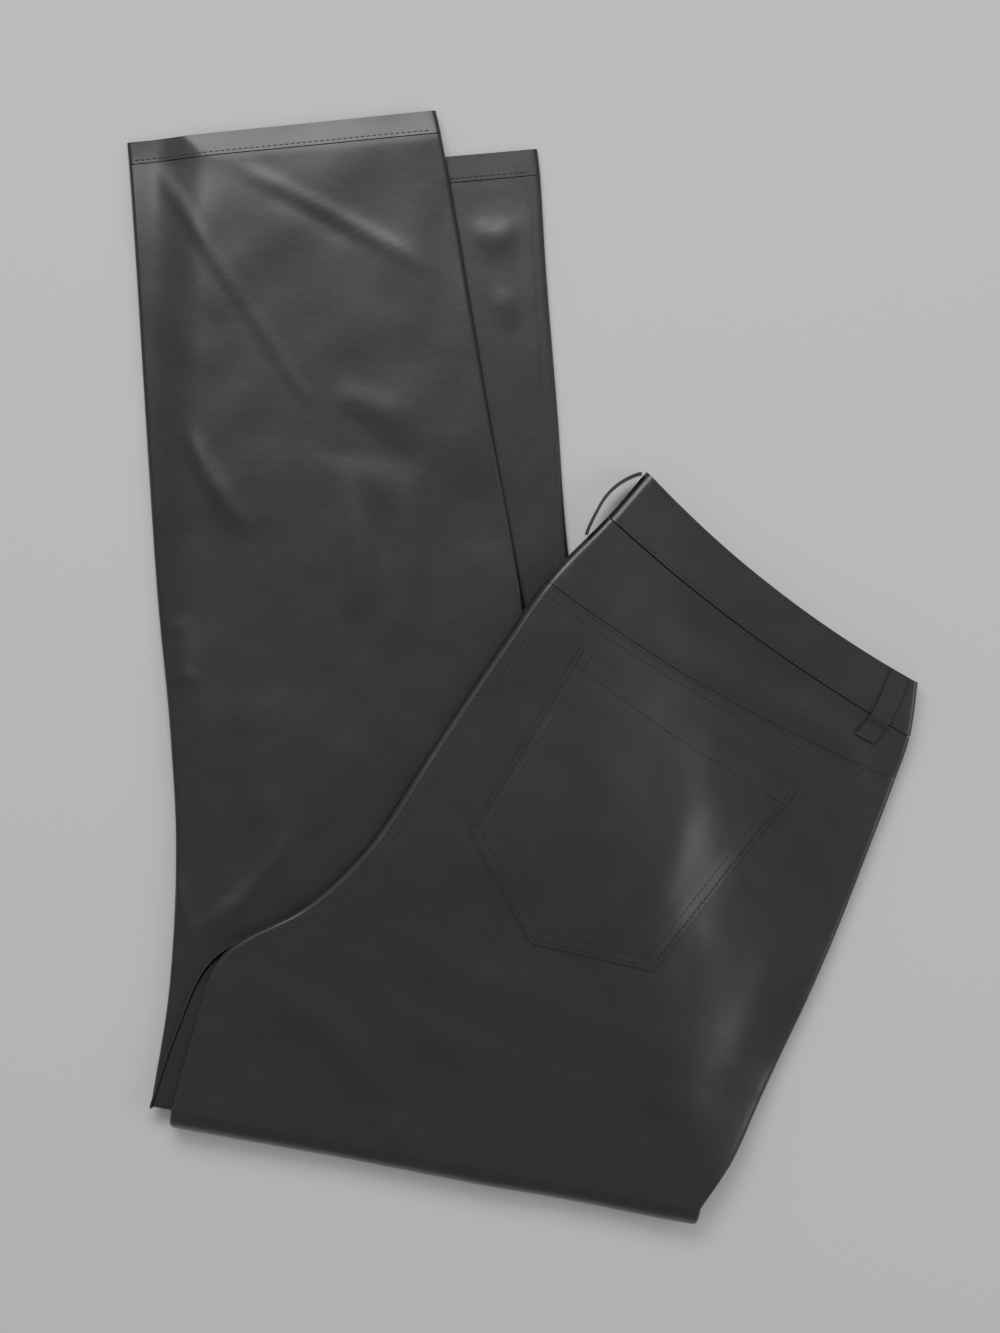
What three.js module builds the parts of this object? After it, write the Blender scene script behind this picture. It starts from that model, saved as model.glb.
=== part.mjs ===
// Faux leather trousers, folded for a shelf.
//
// The trousers are folded along their centre line with both back panels outside, and then across the thighs, so
// that the seat lies on the lower legs. The right half is outermost: it is the top of the seat, it turns round the
// outside of the cross fold, and it lies lowest in the lower legs. The left half is nested inside it, so its back
// panel is the underside of the seat and the top of the lower legs.
//
// Each panel is one cut piece, a wall of cloth swept through sections. A section is a line across the garment from
// its inner edge (centre back seam, then inseam) to its outer edge (side seam).
//
// Millimetres. +Z is up from the surface that the trousers lie on, +Y points towards the hems and +X towards the
// side of the waist.
import * as THREE from "three";

/* ---- driving dimensions ---- */

const CLOTH = 1.2; // one layer of coated cloth
const BAND_CLOTH = 2.3; // the waistband: two layers and their interlining
const HEM_CLOTH = 1.8; // a hem: the cloth and its turned-in edge
const LOOP_CLOTH = 2.0; // a belt loop: a strip folded in three
const SEAM_GAP = 0.3; // between pieces that are sewn together
const LAYER_GAP = 0.9; // between layers that only lie on each other

const PATCH_GAP = 0.5; // between a panel and a piece that lies on it

const LEG_HEIGHT = 5.4; // a leg pressed flat
const SEAT_HEIGHT = 9.6; // the seat: both halves pressed flat
const BAND_HEIGHT = 11.6; // the waistband in its four layers
const PILE_HEIGHT = 2 * (LEG_HEIGHT + LAYER_GAP); // what the seat lies on where both legs are under it
const EDGE_ROLL = (LEG_HEIGHT - CLOTH) / 2; // radius that a panel turns through at a seam, at mid cloth
const CENTRE_ROLL = (SEAT_HEIGHT - CLOTH) / 2; // the same at the centre back, round the whole seat
const SIDE_RETURN = 7; // how far the right back panel comes over the side of the lower leg

const LEG_DRAPE = 40; // the left leg comes down off the right leg within this
const SEAT_DRAPE = 90; // and the seat off both legs within this
const DRAPE_START = 8; // both only from this far outside the edge beneath

const LOOP_WIDTH = 12;
const LOOP_STAND = 7.4; // the centre belt loop stands this far off the fold
const LOOP_END = 1.32; // the section that it ends at, on the yoke

const TRIM_GAP = 0.6; // between a panel and the waistband or a hem
const FRONT_GAP = 4; // from the right back's return to the edge of the right front
const FRONT_INSET = 11; // the waistband's fold at the front lies this far inside the one at the back
const HIDDEN_HEIGHT = SEAT_HEIGHT - 2 * (CLOTH + 0.9); // the layers inside the seat
const HIDDEN_INSET = 3.2; // their edges, from the seat's edges

/* ---- sections: a row for each, with its inner and outer points in plan ----
   dip is how far the middle of the section bends away from the waist, roll is the inner edge's radius, and rest is
   the height of the middle of the layers above what they lie on: more where loops and a pocket are under them. */

const SEAT = [
  { at: "waist", inner: [74.1, 115.2], outer: [236.1, -10.8], dip: 8, roll: CENTRE_ROLL, rest: 8.3 },
  { at: "band", inner: [50.7, 88.2], outer: [231.3, -43.2], dip: 6, roll: CENTRE_ROLL, rest: 8.3 },
  { at: "yoke", inner: [14.1, 50.4], outer: [222.9, -68.4], dip: 8, roll: CENTRE_ROLL, rest: 6.7 },
  { at: "pocket", inner: [-11.1, 14.4], outer: [207.9, -108.0], dip: 5, roll: CENTRE_ROLL, rest: 6.6 },
  { at: "seat", inner: [-57.3, -55.2], outer: [187.5, -160.2], dip: 2, roll: CENTRE_ROLL, rest: 6.6 },
  { at: "hip", inner: [-92.7, -108.0], outer: [170.1, -200.4], dip: 0, roll: CENTRE_ROLL, rest: 6.6 },
  { at: "rise", inner: [-126.9, -141.6], outer: [155.1, -231.6], dip: 0, roll: 3.8, rest: 6.1 },
  { at: "crotch", inner: [-179.1, -173.4], outer: [141.3, -260.4], dip: 0, roll: 2.6, rest: 4.8 },
  { at: "thigh", inner: [-195.3, -218.4], outer: [125.1, -294.6], dip: 0, roll: EDGE_ROLL, rest: 4.8 },
  { at: "fold", inner: [-208.3, -263.9], outer: [106.1, -322.7], dip: 0, roll: EDGE_ROLL, rest: 4.8 },
];

// The left half's inner points from the crotch down, where it spreads further than the right.
const LEFT_SEAT = [
  { at: "crotch", inner: [-186.0, -176.0] },
  { at: "thigh", inner: [-206.5, -218.0] },
  { at: "fold", inner: [-221.4, -261.4] },
];

const RIGHT_LEG = [
  { at: "fold", inner: [-208.3, -263.9], outer: [106.1, -322.7] },
  { at: "thigh", inner: [-204.9, -200.4], outer: [80.1, -236.4] },
  { at: "low_thigh", inner: [-198.3, -116.4], outer: [59.1, -128.4] },
  { at: "above_knee", inner: [-189.9, -32.4], outer: [43.5, -29.4] },
  { at: "knee", inner: [-183.3, 57.6], outer: [27.9, 67.8] },
  { at: "calf", inner: [-180.3, 141.6], outer: [21.3, 153.6] },
  { at: "shin", inner: [-177.9, 219.6], outer: [14.7, 235.8] },
  { at: "hem_seam", inner: [-176.1, 276.6], outer: [11.1, 293.4] },
  { at: "hem", inner: [-175.5, 292.8], outer: [9.3, 309.0] },
];

const LEFT_LEG = [
  { at: "fold", inner: [-221.4, -261.4], outer: [106.1, -322.7] },
  { at: "thigh", inner: [-210.9, -194.4], outer: [65.1, -234.0] },
  { at: "low_thigh", inner: [-206.7, -110.4], outer: [33.9, -128.4] },
  { at: "above_knee", inner: [-210.3, -40.2], outer: [14.7, -41.4] },
  { at: "knee", inner: [-218.1, 39.6], outer: [-0.3, 45.6] },
  { at: "calf", inner: [-224.1, 124.8], outer: [-17.1, 135.6] },
  { at: "shin", inner: [-230.7, 229.8], outer: [-35.7, 244.8] },
  { at: "hem_seam", inner: [-235.5, 299.4], outer: [-48.3, 317.4] },
  { at: "hem", inner: [-236.7, 312.6], outer: [-51.3, 331.2] },
];

// A patch pocket's corners in plan: the ends of its mouth, the corners under them, and its point.
const POCKET = {
  mouth: [[35.1, 10.8], [164.1, -74.4]],
  foot: [[-30.9, -99.6], [77.1, -181.2]],
  point: [5.1, -164.4],
};

// The belt loop near the side: the share of the section that its middle line lies at, and what it lies on.
const SIDE_LOOP = [
  { section: 0.03, share: 0.94, on: "band" },
  { section: 0.5, share: 0.922, on: "band" },
  { section: 1.0, share: 0.905, on: "band" },
  { section: 1.2, share: 0.897, on: "yoke" },
  { section: 1.5, share: 0.886, on: "yoke" },
];

// The layers inside the seat end in the lower legs: at a section of the leg, their inset from its edges.
const HIDDEN_ENDS = [
  { section: 0, inset: HIDDEN_INSET },
  { section: 0.3, inset: 14 },
];

/* ---- small helpers ---- */

const lerp = THREE.MathUtils.lerp;
const smooth = (x) => THREE.MathUtils.smoothstep(x, 0, 1);
const range = (count, f) => Array.from({ length: count }, (_, i) => f(i));
const spread = (from, to, steps) => range(steps + 1, (i) => lerp(from, to, i / steps));
const rad = THREE.MathUtils.degToRad;

/* ---- runs of sections ---- */

// A run interpolates its rows smoothly: section 1.5 lies halfway between rows 1 and 2.
function makeRun(rows) {
  const last = rows.length - 1;
  const through = (points) =>
    new THREE.CatmullRomCurve3(points.map(([x, y]) => new THREE.Vector3(x, y, 0)), false, "centripetal");
  const inner = through(rows.map((r) => r.inner));
  const outer = through(rows.map((r) => r.outer));
  const value = (s, key) => {
    const i = Math.min(Math.floor(s), last - 1);
    return lerp(rows[i][key] ?? 0, rows[i + 1][key] ?? 0, s - i);
  };
  return {
    rows,
    last,
    at: (name) => rows.findIndex((r) => r.at === name),
    section(s) {
      const a = inner.getPoint(s / last);
      const b = outer.getPoint(s / last);
      const width = a.distanceTo(b);
      const across = b.clone().sub(a).divideScalar(width);
      return {
        a,
        across,
        width,
        down: new THREE.Vector3(across.y, -across.x, 0),
        dip: value(s, "dip"),
        roll: value(s, "roll"),
        rest: value(s, "rest"),
      };
    },
  };
}

const rightSeat = makeRun(SEAT);
const leftSeat = makeRun(SEAT.map((row) => ({ ...row, ...LEFT_SEAT.find((own) => own.at === row.at) })));
const rightLeg = makeRun(RIGHT_LEG);
const leftLeg = makeRun(LEFT_LEG);

// The plan point of a section, at a distance across from its inner edge.
function planPoint(section, distance) {
  const share = distance / section.width;
  return section.a
    .clone()
    .addScaledVector(section.across, distance)
    .addScaledVector(section.down, section.dip * 4 * share * (1 - share));
}

/* ---- heights of the pile ---- */

// The x of a leg's edge at a given y, between its sections.
function edgeX(rows, side, y) {
  const above = rows.findIndex((r) => r[side][1] >= y);
  if (above === 0) return rows[0][side][0];
  const i = above < 0 ? rows.length - 1 : above;
  const [x0, y0] = rows[i - 1][side];
  const [x1, y1] = rows[i][side];
  return lerp(x0, x1, (y - y0) / (y1 - y0));
}

// How high a leg lifts what lies on it: all of its height over the leg, easing to nothing outside.
function lift(rows, x, y, drape) {
  const hem = rows[rows.length - 1];
  const t = (x - hem.inner[0]) / (hem.outer[0] - hem.inner[0]);
  const inside = Math.min(
    x - edgeX(rows, "inner", y),
    edgeX(rows, "outer", y) - x,
    lerp(hem.inner[1], hem.outer[1], t) - y,
  );
  return (LEG_HEIGHT + LAYER_GAP) * smooth((inside + DRAPE_START + drape) / drape);
}

const ground = () => 0;
const leftLegFloor = (x, y) => lift(RIGHT_LEG, x, y, LEG_DRAPE);
const seatFloor = (x, y) => lift(RIGHT_LEG, x, y, SEAT_DRAPE) + lift(LEFT_LEG, x, y, SEAT_DRAPE);

// The height of a point that lies level above a floor, measured square to the floor's slope.
function above(floor, x, y, level) {
  const steepness = Math.hypot(1, floor(x + 0.5, y) - floor(x - 0.5, y), floor(x, y + 0.5) - floor(x, y - 0.5));
  return floor(x, y) + level * steepness;
}

/* ---- walls of cloth ---- */

// The direction of a line of points at point i, from a parabola through its last three points at its ends.
function tangent(line, i) {
  const last = line.length - 1;
  const step = (a, b) => line[b].clone().sub(line[a]);
  if (i > 0 && i < last) return step(i - 1, i).normalize().add(step(i, i + 1).normalize());
  if (last < 2) return step(0, last);
  const [a, b] = i === 0 ? [step(0, 1), step(0, 2)] : [step(last - 1, last), step(last - 2, last)];
  const near = a.length();
  const far = near + b.clone().sub(a).length();
  return a.multiplyScalar(far / near).sub(b.multiplyScalar(near / far));
}

// A closed solid round a grid of mid-cloth points. The grid's columns may close into a ring, and groove is how far
// the middle of an open grid's side edges is drawn in.
function wall(grid, thickness, { ring = false, groove = 0 } = {}) {
  const rows = grid.length;
  const cols = grid[0].length;
  const positions = [];
  const index = [];
  const push = (p) => positions.push(p.x, p.y, p.z) / 3 - 1;
  const quad = (a, b, c, d) => index.push(a, b, c, a, c, d);

  const columnLines = range(cols, (j) => grid.map((row) => row[j]));
  const outer = range(rows, () => []);
  const inner = range(rows, () => []);
  for (let i = 0; i < rows; i++) {
    const rowLine = ring ? [grid[i].at(-1), ...grid[i], grid[i][0]] : grid[i];
    for (let j = 0; j < cols; j++) {
      const normal = tangent(columnLines[j], i).cross(tangent(rowLine, ring ? j + 1 : j)).normalize();
      outer[i][j] = push(grid[i][j].clone().addScaledVector(normal, thickness / 2));
      inner[i][j] = push(grid[i][j].clone().addScaledVector(normal, -thickness / 2));
    }
  }
  const strips = ring ? cols : cols - 1;
  for (let j = 0; j < strips; j++) {
    const k = (j + 1) % cols;
    for (let i = 0; i < rows - 1; i++) {
      quad(outer[i][j], outer[i + 1][j], outer[i + 1][k], outer[i][k]);
      quad(inner[i][j], inner[i][k], inner[i + 1][k], inner[i + 1][j]);
    }
    quad(outer[0][j], outer[0][k], inner[0][k], inner[0][j]);
    quad(outer[rows - 1][j], inner[rows - 1][j], inner[rows - 1][k], outer[rows - 1][k]);
  }
  if (!ring) {
    closeSide(0, 1);
    closeSide(cols - 1, cols - 2);
  }
  return solid(positions, index);

  // Closes the grid's side at column j, whose neighbour is column beside.
  function closeSide(j, beside) {
    const out = range(rows, (i) => (j === 0 ? outer[i][j] : inner[i][j]));
    const back = range(rows, (i) => (j === 0 ? inner[i][j] : outer[i][j]));
    if (!groove) {
      for (let i = 0; i < rows - 1; i++) quad(out[i], back[i], back[i + 1], out[i + 1]);
      return;
    }
    const middle = range(rows, (i) => {
      const inward = grid[i][beside].clone().sub(grid[i][j]).normalize();
      return push(grid[i][j].clone().addScaledVector(inward, groove));
    });
    for (let i = 0; i < rows - 1; i++) {
      quad(out[i], middle[i], middle[i + 1], out[i + 1]);
      quad(middle[i], back[i], back[i + 1], middle[i + 1]);
    }
    index.push(out[0], back[0], middle[0]);
    index.push(out[rows - 1], middle[rows - 1], back[rows - 1]);
  }
}

// An indexed geometry whose faces point out.
function solid(positions, index) {
  const p = (i) => new THREE.Vector3().fromArray(positions, 3 * i);
  let volume = 0;
  for (let i = 0; i < index.length; i += 3) {
    volume += p(index[i]).dot(p(index[i + 1]).cross(p(index[i + 2])));
  }
  if (volume < 0) index.reverse();
  const geometry = new THREE.BufferGeometry();
  geometry.setAttribute("position", new THREE.Float32BufferAttribute(positions, 3));
  geometry.setIndex(index);
  geometry.computeVertexNormals();
  return geometry;
}

/* ---- sections of a panel ---- */

const half = CLOTH / 2;
const SEAT_FLATS = 11; // steps across the flat of a section
const SEAT_STEPS = 12; // steps along the seat, round the fold and along a leg
const FOLD_STEPS = 6;
const LEG_STEPS = 10;

// Columns across a panel: each gives a distance across from the inner edge, and a depth below the flat. A panel's
// edge turns down through 90 degrees to meet the other panel at the seam, halfway down, or further to come back
// over it.
function columns(section, { innerRoll = EDGE_ROLL, outerTurn = 90, sideReturn = null, sideInset = 0 } = {}) {
  const roll = (radius, turn, back) => {
    const seam = turn - THREE.MathUtils.radToDeg(SEAM_GAP / 2 / radius);
    const angles = [turn / 3, (turn * 2) / 3, ...(back === null ? [] : [0.9 * turn]), seam];
    return angles.map((degrees, i) => ({
      inset: half + radius * (1 - Math.sin(rad(degrees))) + (i === 3 ? back : 0),
      depth: radius * (1 - Math.cos(rad(degrees))),
    }));
  };
  const inner = roll(innerRoll, 90, null).reverse();
  const outerEdge = section.width - sideInset;
  const outer = sideInset ? [] : roll(EDGE_ROLL, outerTurn, sideReturn);
  const lastFlat = sideInset ? outerEdge : outerEdge - half - EDGE_ROLL;
  return [
    ...inner.map(({ inset, depth }) => ({ distance: inset, depth })),
    ...spread(half + innerRoll, lastFlat, SEAT_FLATS).map((distance) => ({ distance, depth: 0 })),
    ...outer.map(({ inset, depth }) => ({ distance: outerEdge - inset, depth })),
  ];
}

// One section of a panel in space, its flat level above the floor. facing is 1 where the cloth's outside is up and
// -1 where it is down.
function layRow(section, cols, floor, level, facing) {
  return cols.map(({ distance, depth }) => {
    const p = planPoint(section, distance);
    return p.setZ(above(floor, p.x, p.y, level - facing * depth));
  });
}

// The rows of a panel round the cross fold, between its top and bottom heights. facing is 1 where the cloth's
// outside is the outside of the fold.
function foldRows(section, cols, top, bottom, facing) {
  return spread(0, 180, FOLD_STEPS).slice(1, -1).map((angle) =>
    cols.map(({ distance, depth }) => {
      const p = planPoint(section, distance);
      const centre = (top(p.x, p.y) + bottom(p.x, p.y)) / 2;
      const radius = (top(p.x, p.y) - bottom(p.x, p.y)) / 2 - facing * depth;
      p.addScaledVector(section.down, radius * Math.sin(rad(angle)));
      return p.setZ(centre + radius * Math.cos(rad(angle)));
    }),
  );
}

// The share of a section that half a seam's gap takes next to a named row.
function seamShare(run, name, gap = SEAM_GAP) {
  const row = run.rows[run.at(name)];
  const before = run.rows[run.at(name) - 1];
  const apart = (side) => Math.hypot(row[side][0] - before[side][0], row[side][1] - before[side][1]);
  return gap / 2 / Math.min(apart("inner"), apart("outer"));
}

/* ---- levels of each layer, at mid cloth ---- */

const topLayer = (section) => section.rest + SEAT_HEIGHT / 2 - half;
const underLayer = (section) => section.rest - SEAT_HEIGHT / 2 + half;
const legTop = LEG_HEIGHT - half;
const legUnder = half;

const seatSections = (run) =>
  spread(run.at("yoke") + seamShare(run, "yoke"), run.last, SEAT_STEPS).map(run.section);
const yokeSections = (run) =>
  spread(run.at("band") + seamShare(run, "band", TRIM_GAP), run.at("yoke") - seamShare(run, "yoke"), 3).map(run.section);
const legSteps = (run) => spread(0, run.at("hem_seam") - seamShare(run, "hem_seam", TRIM_GAP), LEG_STEPS);

/* ---- panels ---- */

// The right back panel: top of the seat, round the cross fold, and the underside of the lower leg to its hem.
function rightBack() {
  const seatCols = (section) => columns(section, { innerRoll: section.roll, sideReturn: 0 });
  const seat = seatSections(rightSeat);
  const fold = seat.at(-1);
  const level = topLayer(fold);
  const round = foldRows(fold, seatCols(fold), (x, y) => above(seatFloor, x, y, level), () => legUnder, 1);
  const leg = legSteps(rightLeg).map((s, i) => {
    const section = rightLeg.section(s);
    const edge = i === 0 ? { sideReturn: 0 } : { outerTurn: 180, sideReturn: SIDE_RETURN };
    return layRow(section, columns(section, edge), ground, legUnder, -1);
  });
  const top = seat.map((section) => layRow(section, seatCols(section), seatFloor, topLayer(section), 1));
  return wall([...top, ...round, ...leg], CLOTH);
}

// The left back panel: underside of the seat, round inside the cross fold, and the top of the lower leg.
function leftBack() {
  const seatCols = (section) => columns(section, { innerRoll: section.roll });
  const seat = seatSections(leftSeat);
  const fold = seat.at(-1);
  const upper = (x, y) => above(seatFloor, x, y, underLayer(fold));
  const lower = (x, y) => above(leftLegFloor, x, y, legTop);
  const round = foldRows(fold, seatCols(fold), upper, lower, -1);
  const leg = legSteps(leftLeg).map((s) => {
    const section = leftLeg.section(s);
    return layRow(section, columns(section), leftLegFloor, legTop, 1);
  });
  const under = seat.map((section) => layRow(section, seatCols(section), seatFloor, underLayer(section), -1));
  return wall([...under, ...round, ...leg], CLOTH);
}

// The front panel of a lower leg, from the hidden layers to its hem. It faces its own back panel.
function legFront(run, floor, level, facing, options) {
  const grid = legSteps(run).slice(1).map((s) => {
    const section = run.section(s);
    return layRow(section, columns(section, options), floor, level, facing);
  });
  return wall(grid, CLOTH);
}

// Both front panels of the seat and their turn round the cross fold, as one solid with layered edges.
function hiddenLayers() {
  const cols = (section, inset = HIDDEN_INSET) => {
    const flats = columns(section, { innerRoll: section.roll || EDGE_ROLL }).filter(({ depth }) => depth === 0);
    const edge = (distance) => ({ distance, depth: 0 });
    return [edge(inset), ...flats.slice(1, -1), edge(section.width - inset)];
  };
  const seat = [...yokeSections(rightSeat).slice(1, -1), ...seatSections(rightSeat)];
  const fold = seat.at(-1);
  const lower = () => (PILE_HEIGHT - LAYER_GAP) / 2;
  const upper = (x, y) => above(seatFloor, x, y, fold.rest);
  const ends = HIDDEN_ENDS.map(({ section: s, inset }) => {
    const section = rightLeg.section(s);
    return layRow(section, cols(section, inset), lower, 0, 1);
  });
  const top = seat.map((section) => layRow(section, cols(section), seatFloor, section.rest, 1));
  return wall([...top, ...foldRows(fold, cols(fold), upper, lower, 1), ...ends], HIDDEN_HEIGHT, { groove: 1.8 });
}

// A yoke: the shaped piece between the waistband and a back panel.
function yoke(run, level, facing) {
  return wall(
    yokeSections(run).map((section) =>
      layRow(section, columns(section, { innerRoll: section.roll }), seatFloor, level(section), facing)),
    CLOTH,
  );
}

/* ---- waistband, pockets, belt loops and hems ---- */

// The waistband: one closed band in four layers, folded at both sides, the centre back and, inside that, the front.
function waistband() {
  const middle = BAND_CLOTH / 2;
  const pitch = (BAND_HEIGHT - BAND_CLOTH) / 3;
  const backRadius = (BAND_HEIGHT - BAND_CLOTH) / 2;
  const arc = (at, level, radius, from, to) =>
    spread(from, to, 4).slice(1, -1).map((degrees) => ({
      distance: at + radius * Math.cos(rad(degrees)),
      level: level + radius * Math.sin(rad(degrees)),
    }));
  const layer = (from, to, level) => spread(from, to, 9).map((distance) => ({ distance, level }));
  // Levels from the middle: the right back is on top, then the right front, left front and left back.
  const ringOf = ({ width }) => {
    const back = middle + backRadius;
    const front = FRONT_INSET + middle;
    const side = width - middle - pitch / 2;
    return [
      ...layer(back, side, 1.5 * pitch),
      ...arc(side, pitch, pitch / 2, 90, -90),
      ...layer(side, front, 0.5 * pitch),
      ...arc(front, 0, pitch / 2, 90, 270),
      ...layer(front, side, -0.5 * pitch),
      ...arc(side, -pitch, pitch / 2, 90, -90),
      ...layer(side, back, -1.5 * pitch),
      ...arc(back, 0, backRadius, 270, 90),
    ];
  };
  const grid = spread(0, rightSeat.at("band") - seamShare(rightSeat, "band", TRIM_GAP), 3).map((s) => {
    const section = rightSeat.section(s);
    return ringOf(section).map(({ distance, level }) => {
      const p = planPoint(section, distance);
      return p.setZ(above(seatFloor, p.x, p.y, section.rest + level));
    });
  });
  return wall(grid, BAND_CLOTH, { ring: true });
}

// A patch pocket, made from the seat's points moved out. facing is 1 on the right back and -1 on the left.
function pocket(facing) {
  const corner = ([x, y]) => new THREE.Vector3(x, y, 0);
  const [mouthA, mouthB] = POCKET.mouth.map(corner);
  const [footA, footB] = POCKET.foot.map(corner);
  const point = corner(POCKET.point);
  const level = rightSeat.rows[rightSeat.at("seat")].rest + facing * (SEAT_HEIGHT / 2 + PATCH_GAP + half);
  const grid = spread(0, 1, 7).map((down) =>
    spread(-1, 1, 8).map((across) => {
      const top = mouthA.clone().lerp(mouthB, (1 + across) / 2);
      const foot = point.clone().lerp(across < 0 ? footA : footB, Math.abs(across));
      const p = top.lerp(foot, down);
      return p.setZ(above(seatFloor, p.x, p.y, level));
    }),
  );
  return wall(grid, CLOTH);
}

// The belt loop at the centre back stands off the fold like a handle.
function centreLoop() {
  const grid = spread(0, 1, 10).map((t) => {
    const section = rightSeat.section(lerp(0.08, LOOP_END, t));
    const off = LOOP_CLOTH / 2 + SEAM_GAP + LOOP_STAND * Math.sin(Math.PI * t) ** 0.8;
    const p = planPoint(section, 0).addScaledVector(section.across, -off);
    return [-LOOP_WIDTH / 2, LOOP_WIDTH / 2].map((side) =>
      p.clone().setZ(above(seatFloor, p.x, p.y, section.rest + side)));
  });
  return wall(grid, LOOP_CLOTH);
}

// A belt loop near the side lies on the waistband and comes down to the yoke.
function sideLoop(facing) {
  const under = { band: BAND_HEIGHT / 2, yoke: SEAT_HEIGHT / 2 };
  const grid = SIDE_LOOP.map(({ section: s, share, on }) => {
    const section = rightSeat.section(s);
    const level = section.rest + facing * (under[on] + PATCH_GAP + LOOP_CLOTH / 2);
    return [-LOOP_WIDTH / 2, LOOP_WIDTH / 2].map((side) => {
      const p = planPoint(section, share * section.width + side);
      return p.setZ(above(seatFloor, p.x, p.y, level));
    });
  });
  return wall(grid, LOOP_CLOTH);
}

// A hem: the turned-up end of a leg, open right through.
function hem(run, floor) {
  const middle = HEM_CLOTH / 2;
  const radius = LEG_HEIGHT / 2 - middle;
  const turn = (at, from, to) =>
    spread(from, to, 4).map((degrees) => ({
      distance: at + radius * Math.cos(rad(degrees)),
      level: LEG_HEIGHT / 2 + radius * Math.sin(rad(degrees)),
    }));
  const ringOf = ({ width }) => {
    const flat = spread(middle + radius, width - middle - radius, SEAT_FLATS).slice(1, -1);
    return [
      ...turn(middle + radius, 270, 90),
      ...flat.map((distance) => ({ distance, level: LEG_HEIGHT - middle })),
      ...turn(width - middle - radius, 90, -90),
      ...flat.toReversed().map((distance) => ({ distance, level: middle })),
    ];
  };
  const from = run.at("hem_seam") + seamShare(run, "hem_seam", TRIM_GAP);
  const grid = [from, run.last].map((s) => {
    const section = run.section(s);
    return ringOf(section).map(({ distance, level }) => {
      const p = planPoint(section, distance);
      return p.setZ(above(floor, p.x, p.y, level));
    });
  });
  return wall(grid, HEM_CLOTH, { ring: true });
}

/* ---- the garment ---- */

const leather = (roughness, shade = 0x161718) =>
  new THREE.MeshStandardMaterial({ color: shade, roughness, metalness: 0 });
const panelLeather = leather(0.34);
const trimLeather = leather(0.4, 0x121314);

const garment = new THREE.Group();
function add(name, geometry, material) {
  const mesh = new THREE.Mesh(geometry, material);
  mesh.name = name;
  garment.add(mesh);
}

add("right_back", rightBack(), panelLeather);
add("left_back", leftBack(), panelLeather);
add("right_front", legFront(rightLeg, ground, legTop, 1, { sideInset: SIDE_RETURN + FRONT_GAP }), panelLeather);
add("left_front", legFront(leftLeg, leftLegFloor, legUnder, -1), panelLeather);
add("hidden_layers", hiddenLayers(), panelLeather);
add("right_yoke", yoke(rightSeat, topLayer, 1), panelLeather);
add("left_yoke", yoke(leftSeat, underLayer, -1), panelLeather);
add("waistband", waistband(), trimLeather);
add("right_pocket", pocket(1), panelLeather);
add("left_pocket", pocket(-1), panelLeather);
add("centre_loop", centreLoop(), trimLeather);
add("right_loop", sideLoop(1), trimLeather);
add("left_loop", sideLoop(-1), trimLeather);
add("left_hem", hem(leftLeg, leftLegFloor), panelLeather);
add("right_hem", hem(rightLeg, ground), panelLeather);

// The origin is the middle of the outline, on the surface that the trousers lie on.
const box = new THREE.Box3().setFromObject(garment);
const centre = box.getCenter(new THREE.Vector3());
garment.position.set(-centre.x, -centre.y, -box.min.z);

export default garment;
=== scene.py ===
"""Looks of the folded faux leather trousers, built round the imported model.

Lengths in the tables are millimetres in the model's own frame, and become metres when a mesh is made.
"""

import math

import bpy
import numpy as np
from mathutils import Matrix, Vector, noise


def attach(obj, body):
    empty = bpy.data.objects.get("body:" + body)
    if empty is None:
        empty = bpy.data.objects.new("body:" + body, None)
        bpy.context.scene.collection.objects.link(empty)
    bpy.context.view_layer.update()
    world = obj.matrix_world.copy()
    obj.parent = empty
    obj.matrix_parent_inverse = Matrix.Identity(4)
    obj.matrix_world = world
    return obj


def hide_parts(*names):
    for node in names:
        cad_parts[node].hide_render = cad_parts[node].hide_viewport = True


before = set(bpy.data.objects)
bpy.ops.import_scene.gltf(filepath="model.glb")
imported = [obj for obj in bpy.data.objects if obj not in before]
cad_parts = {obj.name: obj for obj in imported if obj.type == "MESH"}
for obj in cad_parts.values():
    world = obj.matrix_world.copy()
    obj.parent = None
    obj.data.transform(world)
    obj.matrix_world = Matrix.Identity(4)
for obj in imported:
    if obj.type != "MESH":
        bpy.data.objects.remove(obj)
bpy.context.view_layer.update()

# ---- sizes, as in the model ----

MM = 0.001
ORIGIN = np.array([0.239, 0.908, 0.0])  # the tables' origin in the model's frame

CLOTH = 1.2
BAND_CLOTH = 2.3
HEM_CLOTH = 1.8
LOOP_CLOTH = 2.0
LAYER_GAP = 0.9
PATCH_GAP = 0.5
SEAM_GAP = 0.1
LEG_HEIGHT = 5.4
SEAT_HEIGHT = 9.6
BAND_HEIGHT = 11.6
PILE_HEIGHT = 2 * (LEG_HEIGHT + LAYER_GAP)
EDGE_ROLL = (LEG_HEIGHT - CLOTH) / 2
CENTRE_ROLL = (SEAT_HEIGHT - CLOTH) / 2
SIDE_RETURN = 7.0
LEG_DRAPE = 40.0
SEAT_DRAPE = 90.0
DRAPE_START = 8.0
LOOP_WIDTH = 12.0
LOOP_STAND = 7.4
LOOP_START = 0.08
LOOP_END = 1.32
LOOP_OFF = 0.3  # between the centre loop's ends and the fold
FRONT_GAP = 1.0
FRONT_INSET = 11.0
HIDDEN_HEIGHT = 5.4
HIDDEN_INSET = 3.2
HIDDEN_DEPTH = 2.2  # how deep the edge's layering is cut
HIDDEN_FLAT = 4.0  # from the inset to where the solid is at its full height
HIDDEN_EDGE = [0.0, 0.55, 0.85, 0.6, 0.25, 0.6, 0.85, 0.55, 0.0]
LEG_DRAW_IN = 30.0  # how much the hidden layers narrow for each section under the seat
PATCH_REST = 6.6  # height of the seat's middle at the pocket
PATCH_CROWN = 0.5
PATCH_SUNK = 0.35
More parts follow.
